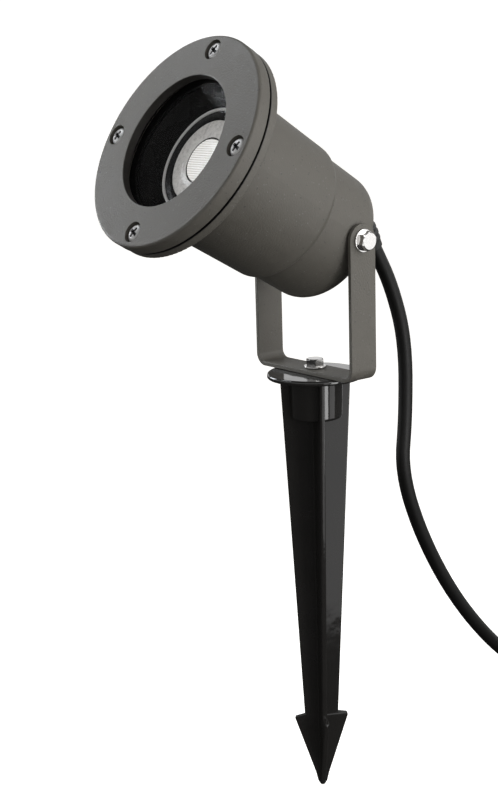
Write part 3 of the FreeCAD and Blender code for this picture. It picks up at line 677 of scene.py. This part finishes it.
def add_fasteners():
    """The bezel's screws, and the bolts and washers of the two joints."""
    mesh = bmesh.new()
    for angle in SCREW_ANGLES:
        turn = math.radians(angle)
        seat = Vector((SCREW_CIRCLE * math.cos(turn), SCREW_CIRCLE * math.sin(turn),
                       FRONT - COUNTERBORE_DEEP))
        spin = Matrix.Rotation(turn + SCREW_SPIN, 4, "Z")
        pan_screw(mesh, BEAM @ Matrix.Translation(seat) @ spin)
    screws = piece("bezel_screw_set", mesh, [SCREW_STEEL, SCREW_RECESS_SHADE], "head")
    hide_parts("bezel_screws")

    bolts, washers = bmesh.new(), bmesh.new()
    lean = Matrix.Translation(PIVOT) @ Matrix.Rotation(BOLT_LEAN, 4, "X")
    for side in (1, -1):
        facing = lean @ Matrix.Rotation(side * math.pi / 2, 4, "Y")
        hex_bolt(bolts, facing @ Matrix.Translation((0, 0, ARM_FACE + WASHER_THICK)), PIVOT_SHANK)
        flat_washer(washers, facing @ Matrix.Translation((0, 0, ARM_FACE)))
    made = piece("pivot_bolt_pair", bolts, [STAINLESS], "head")
    soften_edges(made, 0.12)
    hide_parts("pivot_bolts")
    made = piece("pivot_washer_pair", washers, [STAINLESS], "head")
    flatten_faces(made)
    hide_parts("pivot_washers")

    mesh = bmesh.new()
    seat = Matrix.Translation((0, 0, FOOT_FACE + WASHER_THICK))
    hex_bolt(mesh, seat @ Matrix.Rotation(BASE_BOLT_TURN, 4, "Z"), FOOT_SHANK)
    made = piece("foot_bolt", mesh, [FOOT_STEEL], "stake")
    soften_edges(made, 0.12)
    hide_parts("base_bolt")
    mesh = bmesh.new()
    flat_washer(mesh, Matrix.Translation((0, 0, FOOT_FACE)))
    made = piece("foot_washer", mesh, [FOOT_STEEL], "stake")
    flatten_faces(made)
    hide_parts("base_washer")


# ---------------------------------------------------------------- the bracket

STRIP_HALF = 7.7
STRIP_THICK = 2.0
BOLT_HOLE = 2.55
FOOT_MID = 3.55
ARM_MID = 33.2
BEND_MID = 5.0
FOOT_HALF = ARM_MID - BEND_MID
BEND_LEN = BEND_MID * math.pi / 2
RAYS = 64


def on_strip(along, across):
    """A point of the bent strip's middle, from its place on the flat strip."""
    side, gone = math.copysign(1, along), abs(along)
    if gone < FOOT_HALF:
        return Vector((along, across, FOOT_MID))
    if gone < FOOT_HALF + BEND_LEN:
        turn = (gone - FOOT_HALF) / BEND_MID
        return Vector((side * (FOOT_HALF + BEND_MID * math.sin(turn)), across,
                       FOOT_MID + BEND_MID * (1 - math.cos(turn))))
    return Vector((side * ARM_MID, across, FOOT_MID + BEND_MID + gone - FOOT_HALF - BEND_LEN))


def hole_patch(mesh, middle, round_side):
    """The strip round one bolt hole, with a round end on one side if wanted."""
    rings = []
    for share in (0.0, 0.06, 0.35, 0.7, 1.0):
        ring = []
        for i in range(RAYS):
            angle = 2 * math.pi * i / RAYS
            way = Vector((math.cos(angle), math.sin(angle)))
            reach = STRIP_HALF / max(abs(way.x), abs(way.y))
            if round_side * way.x > 0:
                reach = STRIP_HALF
            reach = BOLT_HOLE + (reach - BOLT_HOLE) * share
            ring.append(mesh.verts.new(on_strip(middle + way.x * reach, way.y * reach)))
        rings.append(ring)
    skin(mesh, rings)


def add_bracket():
    """A U bent from flat strip, with round ends and three bolt holes."""
    arm_start = FOOT_HALF + BEND_LEN
    pivot_along = arm_start + PIVOT.z - FOOT_MID - BEND_MID
    mesh = bmesh.new()
    hole_patch(mesh, 0.0, 0)
    stops = [STRIP_HALF + (FOOT_HALF - STRIP_HALF) * i / 4 for i in range(5)]
    stops += [FOOT_HALF + BEND_LEN * i / 12 for i in range(1, 13)]
    stops += [arm_start + (pivot_along - STRIP_HALF - arm_start) * i / 6 for i in range(1, 7)]
    edge = [STRIP_HALF * math.tan(2 * math.pi * i / RAYS) for i in range(-RAYS // 8, RAYS // 8 + 1)]
    for side in (1, -1):
        hole_patch(mesh, side * pivot_along, side)
        rows = [[mesh.verts.new(on_strip(side * along, across)) for across in edge]
                for along in stops]
        for low, high in zip(rows, rows[1:]):
            for i in range(len(edge) - 1):
                mesh.faces.new((low[i], low[i + 1], high[i + 1], high[i]))
    bmesh.ops.remove_doubles(mesh, verts=mesh.verts, dist=0.01)
    bracket = piece("bent_bracket", mesh, [POWDER_COAT], "bracket")
    shell = bracket.modifiers.new("strip_thickness", "SOLIDIFY")
    shell.thickness = STRIP_THICK * MM
    shell.offset = 0.0
    shell.use_even_offset = True
    soften_edges(bracket, 0.35, 3)
    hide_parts("bracket")


# ---------------------------------------------------------------- the ground spike

RIB_TURN = math.radians(59.8)
RIB_HALF = 1.2
RIB_DRAFT = math.tan(math.radians(1.9))
# Depth, reach of the ribs, and the boss round their middle or None
SPIKE_SECTIONS = [
    (0.0, 17.0, 13.2), (18.2, 16.1, 12.74), (18.7, 16.07, 12.6), (19.25, 16.05, 12.2),
    (19.6, 16.03, 11.65), (19.8, 16.02, 10.9), (19.8, 16.01, None), (95.0, 12.26, None),
    (172.4, 8.4, None),
    (173.3, 13.1, None), (174.5, 13.4, None), (205.2, 3.2, None), (209.2, 2.3, None),
    (211.3, 1.1, None),
]
SPIKE_TIP = 211.8
FLANGE_RAD = 23.0
FLANGE_TOP = 2.5
FLANGE_ROUND = 0.9
BORE_RAD = 2.6
BORE_DEEP = 13.0
NUT_POCKET = (-4.95, -9.05)
NUT_HALF = 4.05


def spike_section(reach, boss):
    """A cross of four ribs, thicker at their roots, round a boss or with fillets between."""
    half = min(RIB_HALF, 0.62 * reach)
    ease = min(0.5, 0.45 * half)
    root = half + RIB_DRAFT * (reach - half)
    fillet = min(0.9, 0.3 * (reach - root))
    quarter = [Vector((reach, 0.0))]
    for step in range(4):
        turn = math.radians(30 * step)
        quarter.append(Vector((reach - ease + ease * math.cos(turn),
                               half - ease + ease * math.sin(turn))))
    start = math.asin((half + RIB_DRAFT * (reach - boss)) / boss) if boss else 0.0
    for step in range(15):
        share = step / 14
        if boss:
            turn = start + (math.pi / 2 - 2 * start) * share
            quarter.append(Vector((boss * math.cos(turn), boss * math.sin(turn))))
        else:
            turn = -math.pi / 2 - math.pi / 2 * share
            quarter.append(Vector((root + fillet + fillet * math.cos(turn),
                                   root + fillet + fillet * math.sin(turn))))
    quarter += [point.yx for point in reversed(quarter[1:5])]
    return [Matrix.Rotation(i * math.pi / 2, 2) @ point for i in range(4) for point in quarter]


def add_spike():
    """The flange, the boss with its bore and nut pocket, the ribs and the barbs, in one skin."""
    mesh = bmesh.new()
    turn = Matrix.Rotation(RIB_TURN, 4, "Z")
    rings = [[mesh.verts.new((0, 0, -SPIKE_TIP))]]
    for depth, reach, boss in reversed(SPIKE_SECTIONS):
        rings.append([mesh.verts.new(turn @ Vector((*point, -depth)))
                      for point in spike_section(reach, boss)])
    angles = [math.atan2(point.y, point.x) for point in spike_section(*SPIKE_SECTIONS[0][1:])]

    def nut_side(angle):
        return NUT_HALF / math.cos(angle % (math.pi / 3) - math.pi / 6)

    corner = [(FLANGE_ROUND * math.sin(math.radians(step)),
               FLANGE_ROUND * math.cos(math.radians(step))) for step in (0, 30, 60, 90)]
    inner = FLANGE_RAD - FLANGE_ROUND
    outline = [(inner + out, FLANGE_ROUND - rise) for out, rise in corner]
    outline += [(inner + out, FLANGE_TOP - FLANGE_ROUND + rise) for out, rise in reversed(corner)]
    outline += [(BORE_RAD, FLANGE_TOP), (BORE_RAD, NUT_POCKET[0])]
    outline += [(nut_side, height) for height in NUT_POCKET]
    outline += [(BORE_RAD, NUT_POCKET[1]), (BORE_RAD, -BORE_DEEP)]
    for radius, height in outline:
        ring = []
        for angle in angles:
            reach = radius(angle) if callable(radius) else radius
            ring.append(mesh.verts.new(turn @ Vector((reach * math.cos(angle),
                                                      reach * math.sin(angle), height))))
        rings.append(ring)
    rings.append([mesh.verts.new((0, 0, -BORE_DEEP))])
    skin(mesh, rings)
    spike = piece("spike_and_flange", mesh, [SPIKE_PLASTIC], "stake")
    flatten_faces(spike)
    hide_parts("ground_spike")


# ---------------------------------------------------------------- the lamp's face

LAMP_FRONT = FRONT - 18.0
FROSTED_RAD = 19.5
STEP_RAD = 11.2
CENTRE_RAD = 10.4


def add_lens():
    """A dark ring, a frosted ring and a ribbed lens in the middle of the lamp's face."""
    profile = [(0, -6.2), (23.9, -6.2), (23.9, -0.7), (23.7, -0.5), (23.3, -0.75), (21.6, -1.5),
               (20.2, -1.7), (19.6, -1.5), (19.4, -0.9), (19.0, -0.6), (15.0, -0.42),
               (11.7, -0.6), (11.1, -0.9), (10.9, -1.5), (10.5, -1.6), (10.3, -1.0),
               (10.1, -0.62), (9.6, -0.42), (7.0, -0.2), (4.0, -0.08), (0, 0.0)]
    mesh = bmesh.new()
    lathe(mesh, profile, 96)
    for face in mesh.faces:
        radius = face.calc_center_median().xy.length
        face.material_index = 0 if radius > FROSTED_RAD or radius < STEP_RAD else 1
        if radius < CENTRE_RAD:
            face.material_index = 2
    bmesh.ops.transform(mesh, matrix=BEAM @ Matrix.Translation((0, 0, LAMP_FRONT)),
                        verts=mesh.verts)
    lens = piece("lamp_face", mesh, [LENS_RIM, LENS_FROSTED, LENS_CLEAR], "head")
    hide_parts("lamp_lens")


# ---------------------------------------------------------------- the tie and the plug

TIE_WIDE = 9.0
PLUG_LEN = 46.0
PLUG_RAD = 18.5
PIN_GAP = 19.0
PIN_RAD = 2.4
PIN_LEN = 19.0
PLUG = Matrix.Translation(plug_tail / MM) @ Matrix.Rotation(math.pi / 2 - PLUG_PITCH, 4, "X")


def add_tie():
    """A hook-and-loop strap wound a turn and a bit round the coil."""
    turn = math.radians(TIE_ANGLE)
    out = Vector((math.cos(turn), math.sin(turn), 0))
    along = Vector((-math.sin(turn), math.cos(turn), 0))
    up = Vector((0, 0, 1))
    foot = COIL_CENTRE.to_3d() / MM + out * COIL_MEAN + up * (FLOOR / MM + TIE_THICK + CORD_RAD)
    corners = [(COIL_PITCH, 0), (COIL_PITCH / 2, 0.87 * COIL_PITCH),
               (-COIL_PITCH / 2, 0.87 * COIL_PITCH), (-COIL_PITCH, 0)]
    mesh = bmesh.new()
    rings = []
    steps, whole = 116, 96
    for i in range(steps + 1):
        angle = 2 * math.pi * i / whole + math.pi / 6
        way = Vector((math.cos(angle), math.sin(angle)))
        corner = max(corners, key=lambda c: c[0] * way.x + c[1] * way.y)
        over = (TIE_THICK + 0.05) * eased((i - whole) / 5 + 1)
        ring = []
        for lift, side in ((0, -1), (0, 1), (TIE_THICK, 1), (TIE_THICK, -1)):
            reach = CORD_RAD + 0.02 + lift + over
            place = foot + out * (corner[0] + reach * way.x) + up * (corner[1] + reach * way.y)
            ring.append(mesh.verts.new(place + along * side * TIE_WIDE / 2))
        rings.append(ring)
    for low, high in zip(rings, rings[1:]):
        for k in range(4):
            mesh.faces.new((low[k], low[(k + 1) % 4], high[(k + 1) % 4], high[k]))
    mesh.faces.new(rings[0])
    mesh.faces.new(reversed(rings[-1]))
    tie = piece("coil_strap", mesh, [TIE_WEAVE], "bracket")
    soften_edges(tie, 0.15)
    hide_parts("cord_tie")
    return tie


def add_plug():
    """A round two-pin plug with a ribbed tail and grip flutes."""
    def fluted(height, deep):
        def at(angle):
            return PLUG_RAD - deep * abs(math.cos(6 * angle)) ** 3, height
        return at

    profile = [(0, 0), (5.6, 0), (6.0, 0.4)]
    for i in range(4):
        low = 1.6 + 3.0 * i
        profile += [(6.1 + 0.3 * i, low), (5.2 + 0.3 * i, low + 0.3), (5.2 + 0.3 * i, low + 1.1),
                    (6.2 + 0.3 * i, low + 1.4)]
    profile += [(7.6, 14.2), (9.4, 16.0), (12.6, 18.4), (14.2, 20.5), (15.3, 23.5), (16.0, 25.6),
                (16.6, 26.4), (17.9, 26.7), (18.4, 27.1), fluted(28.4, 0.0), fluted(29.6, 0.9),
                fluted(40.5, 0.9), fluted(42.0, 0.0), (18.5, 45.2), (18.2, 45.8), (17.6, PLUG_LEN),
                (14.0, PLUG_LEN), (13.6, PLUG_LEN - 0.6), (0, PLUG_LEN - 0.6)]
    mesh = bmesh.new()
    lathe(mesh, profile, 96, PLUG)
    body = piece("plug_grip", mesh, [PLUG_RUBBER], "bracket")
    flatten_faces(body)
    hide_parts("plug_body")
    mesh = bmesh.new()
    for side in (1, -1):
        pin = PLUG @ Matrix.Translation((side * PIN_GAP / 2, 0, PLUG_LEN))
        lathe(mesh, [(0, -6.0), (PIN_RAD, -6.0), (PIN_RAD, PIN_LEN - 1.8),
                     (0.95 * PIN_RAD, PIN_LEN - 1.0), (0.75 * PIN_RAD, PIN_LEN - 0.4),
                     (0.4 * PIN_RAD, PIN_LEN - 0.05), (0, PIN_LEN)], 32, pin)
    pins = piece("plug_pin_pair", mesh, [PLATED_PINS], "bracket")
    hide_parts("plug_pins")
    return body, pins


add_fasteners()
add_bracket()
add_spike()
add_lens()
tie = add_tie()
plug_parts = add_plug()


# ---------------------------------------------------------------- the floor and the light

FLOOR_HALF = 60.0
FLOOR_GLOW = 0.8
WORLD_STRENGTH = 1.1
# Sine of the elevation, and the brightness there as a share of the strength
WORLD_STOPS = [(-1.0, 0.03), (-0.12, 0.05), (-0.03, 1.0), (0.22, 1.0), (0.34, 0.26), (1.0, 0.26)]
NEUTRAL = (1.0, 1.0, 1.0)
COOL = (0.96, 1.0, 1.05)
# Name, place, what it faces, size, brightness and tint
SOFTBOXES = [
    ("key", (-0.25, -0.15, 0.40), (0, -0.06, 0.08), (0.18, 0.18), 6.0, COOL),
    ("left_box", (-0.42, -0.13, 0.13), (0, -0.06, 0.08), (0.16, 0.2), 9.5, COOL),
    ("right_box", (0.85, 0.30, 0.36), (0, 0, 0.02), (0.8, 0.55), 3.3, NEUTRAL),
    ("right_low_box", (0.9, 0.60, -0.20), (0, 0, -0.02), (0.5, 0.4), 1.2, NEUTRAL),
    ("right_strip", (0.9, 0.10, -0.17), (0, 0, -0.05), (0.22, 0.42), 6.5, NEUTRAL),
    ("right_front_box", (0.9, -0.20, -0.12), (0, 0, -0.06), (0.26, 0.72), 1.0, NEUTRAL),
    ("top_back_box", (0.35, 0.75, 1.0), (0, 0, 0.08), (0.7, 0.5), 1.7, NEUTRAL),
]


def add_stage():
    """A plain near-white floor that lights nothing but itself."""
    floor = bmesh.new()
    bmesh.ops.create_grid(floor, x_segments=1, y_segments=1, size=FLOOR_HALF)
    data = bpy.data.meshes.new("floor")
    floor.to_mesh(data)
    floor.free()
    data.materials.append(finish_of("floor_white", grey(0.84), grey(0.86), (0.8, 0.9),
                                    patch_mm=400, specular=0.0, glow=FLOOR_GLOW))
    made = bpy.data.objects.new("floor", data)
    made.location.z = FLOOR
    made.visible_diffuse = False
    made.visible_glossy = False
    made.visible_shadow = False
    bpy.context.scene.collection.objects.link(made)


def area_light(name, place, target, size, radiance, tint):
    """A softbox of a given brightness, out of the camera's sight."""
    data = bpy.data.lights.new(name, "AREA")
    data.shape = "RECTANGLE"
    data.size, data.size_y = size
    data.energy = math.pi * size[0] * size[1] * radiance
    data.color = tint
    lamp = bpy.data.objects.new(name, data)
    lamp.location = place
    lamp.rotation_euler = (Vector(target) - Vector(place)).to_track_quat("-Z", "Y").to_euler()
    lamp.visible_camera = False
    bpy.context.scene.collection.objects.link(lamp)


def add_world():
    """White along the horizon, dim overhead and darker below."""
    world = bpy.data.worlds.new("studio")
    world.use_nodes = True
    tree = world.node_tree
    place = tree.nodes.new("ShaderNodeTexCoord")
    split = tree.nodes.new("ShaderNodeSeparateXYZ")
    tree.links.new(place.outputs["Generated"], split.inputs["Vector"])
    ramp = tree.nodes.new("ShaderNodeValToRGB")
    ramp.color_ramp.interpolation = "EASE"
    for _ in range(len(WORLD_STOPS) - 2):
        ramp.color_ramp.elements.new(0.5)
    for element, (up, value) in zip(ramp.color_ramp.elements, WORLD_STOPS):
        element.position = (up + 1) / 2
        element.color = (value, value, value, 1.0)
    tree.links.new(map_range(tree, split.outputs["Z"], start=-1.0), ramp.inputs["Fac"])
    background = tree.nodes["Background"]
    tree.links.new(ramp.outputs["Color"], background.inputs["Color"])
    background.inputs["Strength"].default_value = WORLD_STRENGTH
    bpy.context.scene.world = world


add_stage()
add_world()
bpy.context.scene.view_settings.view_transform = "Standard"
for softbox in SOFTBOXES:
    area_light(*softbox)
